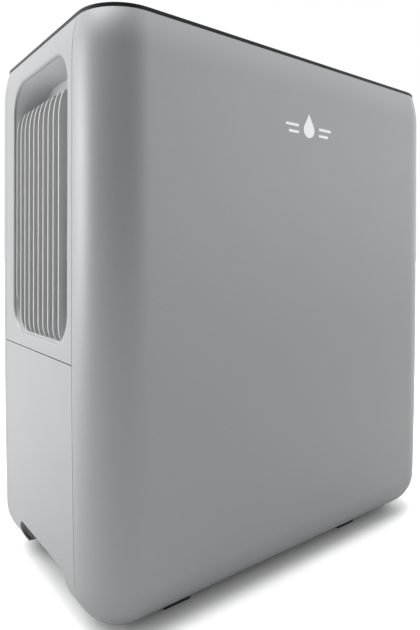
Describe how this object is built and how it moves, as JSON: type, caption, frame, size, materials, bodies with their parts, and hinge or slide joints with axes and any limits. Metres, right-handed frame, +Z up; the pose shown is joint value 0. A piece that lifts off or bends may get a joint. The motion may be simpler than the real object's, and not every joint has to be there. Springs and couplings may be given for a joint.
{
  "type": "dehumidifier",
  "caption": "Upright home compressor dehumidifier: rounded satin cabinet, slatted side intake with hand recess, pull-out water tank in the same side, outlet grille opposite, dark top panel.",
  "frame": {"origin": "centre of the cabinet's footprint, on the floor", "axes": "+Z up; the wide front faces -Y; the intake grille and the water tank face -X; the outlet faces +X"},
  "size_m": [0.442, 0.258, 0.5],
  "materials": {
    "shell_silver": "satin silver-grey moulding",
    "panel_silver": "satin silver-grey moulding",
    "grille_silver": "satin light grey moulding",
    "emblem_white": "white inlay",
    "top_slate": "dark slate, fine texture",
    "fascia_black": "gloss black",
    "lens_smoke": "smoked, polished",
    "button_grey": "satin grey",
    "rubber_black": "matt",
    "base_black": "black moulding",
    "chassis_grey": "light grey moulding",
    "tank_clear": "translucent blue-grey",
    "tank_lid": "light grey moulding",
    "float_white": "white moulding",
    "filter_frame": "dark grey moulding",
    "filter_mesh": "woven nylon net",
    "steel": "zinc plated",
    "magnet": "ferrite",
    "galvanised": "galvanised sheet",
    "fin_aluminium": "thin sheet",
    "copper": "copper tube",
    "bronze": "sintered bronze",
    "shroud_black": "black moulding",
    "fan_grey": "dark grey moulding",
    "motor_paint": "grey paint",
    "compressor_paint": "black enamel",
    "board_green": "circuit board",
    "component_black": "black component",
    "capacitor": "drawn can",
    "drain_grey": "grey moulding"
  },
  "bodies": {
    "cabinet": {"front_shell": "shell_silver", "back_shell": "shell_silver", "left_panel": "panel_silver", "right_panel": "panel_silver", "outlet_grille": "grille_silver", "badge": "emblem_white", "base_pan": "base_black", "feet": "rubber_black", "shell_screws": "steel", "chassis": "chassis_grey", "chassis_screws": "steel", "drain_spigot": "tank_lid", "cord_gland": "rubber_black", "top_panel": "top_slate", "control_fascia": "fascia_black", "display_lens": "lens_smoke", "display_board": "board_green", "tactile_switches": "component_black", "reed_sensor": "component_black", "drip_tray": "chassis_grey", "coil_end_plates": "galvanised", "evaporator_fins": "fin_aluminium", "evaporator_tubes": "copper", "condenser_fins": "fin_aluminium", "condenser_tubes": "copper", "fan_shroud": "shroud_black", "motor_bracket": "galvanised", "fan_motor": "motor_paint", "motor_bearings": "bronze", "compressor": "compressor_paint", "accumulator": "compressor_paint", "compressor_grommets": "rubber_black", "compressor_bolts": "steel", "compressor_pump": "steel", "suction_pipe": "copper", "discharge_pipe": "copper", "liquid_line": "copper", "filter_drier": "copper", "control_box": "component_black", "main_board": "board_green", "run_capacitor": "capacitor", "humidity_sensor": "float_white"},
    "filter_cassette": {"intake_grille": "grille_silver", "filter_frame": "filter_frame", "filter_mesh": "filter_mesh"},
    "water_tank": {"tank_body": "tank_clear", "tank_front": "panel_silver", "tank_lid": "tank_lid", "float_pin": "steel"},
    "float": {"float_arm": "float_white", "float_magnet": "magnet"},
    "fan_rotor": {"motor_shaft": "steel", "impeller": "fan_grey", "impeller_nut": "bronze"},
    "drain_plug": {"drain_cap": "drain_grey"},
    "power_key": {"power_button": "button_grey"},
    "mode_key": {"mode_button": "button_grey"},
    "fan_key": {"fan_button": "button_grey"},
    "humidity_up_key": {"humidity_up_button": "button_grey"},
    "humidity_down_key": {"humidity_down_button": "button_grey"}
  },
  "joints": [
    {"name": "cassette_pull", "type": "slide", "parent": "cabinet", "child": "filter_cassette", "axis": [-1, 0, 0], "range_m": [0, 0.06]},
    {"name": "tank_pull", "type": "slide", "parent": "cabinet", "child": "water_tank", "axis": [-1, 0, 0], "range_m": [0, 0.18]},
    {"name": "float_swing", "type": "hinge", "parent": "water_tank", "child": "float", "pos_m": [-0.06, 0, 0.19], "axis": [0, 1, 0], "range_deg": [0, 18]},
    {"name": "fan_spin", "type": "hinge", "parent": "cabinet", "child": "fan_rotor", "pos_m": [-0.094, -0.0065, 0.336], "axis": [1, 0, 0], "continuous": true},
    {"name": "drain_plug_pull", "type": "slide", "parent": "cabinet", "child": "drain_plug", "axis": [0, 1, 0], "range_m": [0, 0.03]},
    {"name": "power_key_press", "type": "slide", "parent": "cabinet", "child": "power_key", "axis": [0, 0, -1], "range_m": [0, 0.001], "stiffness_N_per_m": 600, "springref_m": -0.0005},
    {"name": "mode_key_press", "type": "slide", "parent": "cabinet", "child": "mode_key", "axis": [0, 0, -1], "range_m": [0, 0.001], "stiffness_N_per_m": 600, "springref_m": -0.0005},
    {"name": "fan_key_press", "type": "slide", "parent": "cabinet", "child": "fan_key", "axis": [0, 0, -1], "range_m": [0, 0.001], "stiffness_N_per_m": 600, "springref_m": -0.0005},
    {"name": "humidity_up_key_press", "type": "slide", "parent": "cabinet", "child": "humidity_up_key", "axis": [0, 0, -1], "range_m": [0, 0.001], "stiffness_N_per_m": 600, "springref_m": -0.0005},
    {"name": "humidity_down_key_press", "type": "slide", "parent": "cabinet", "child": "humidity_down_key", "axis": [0, 0, -1], "range_m": [0, 0.001], "stiffness_N_per_m": 600, "springref_m": -0.0005}
  ]
}
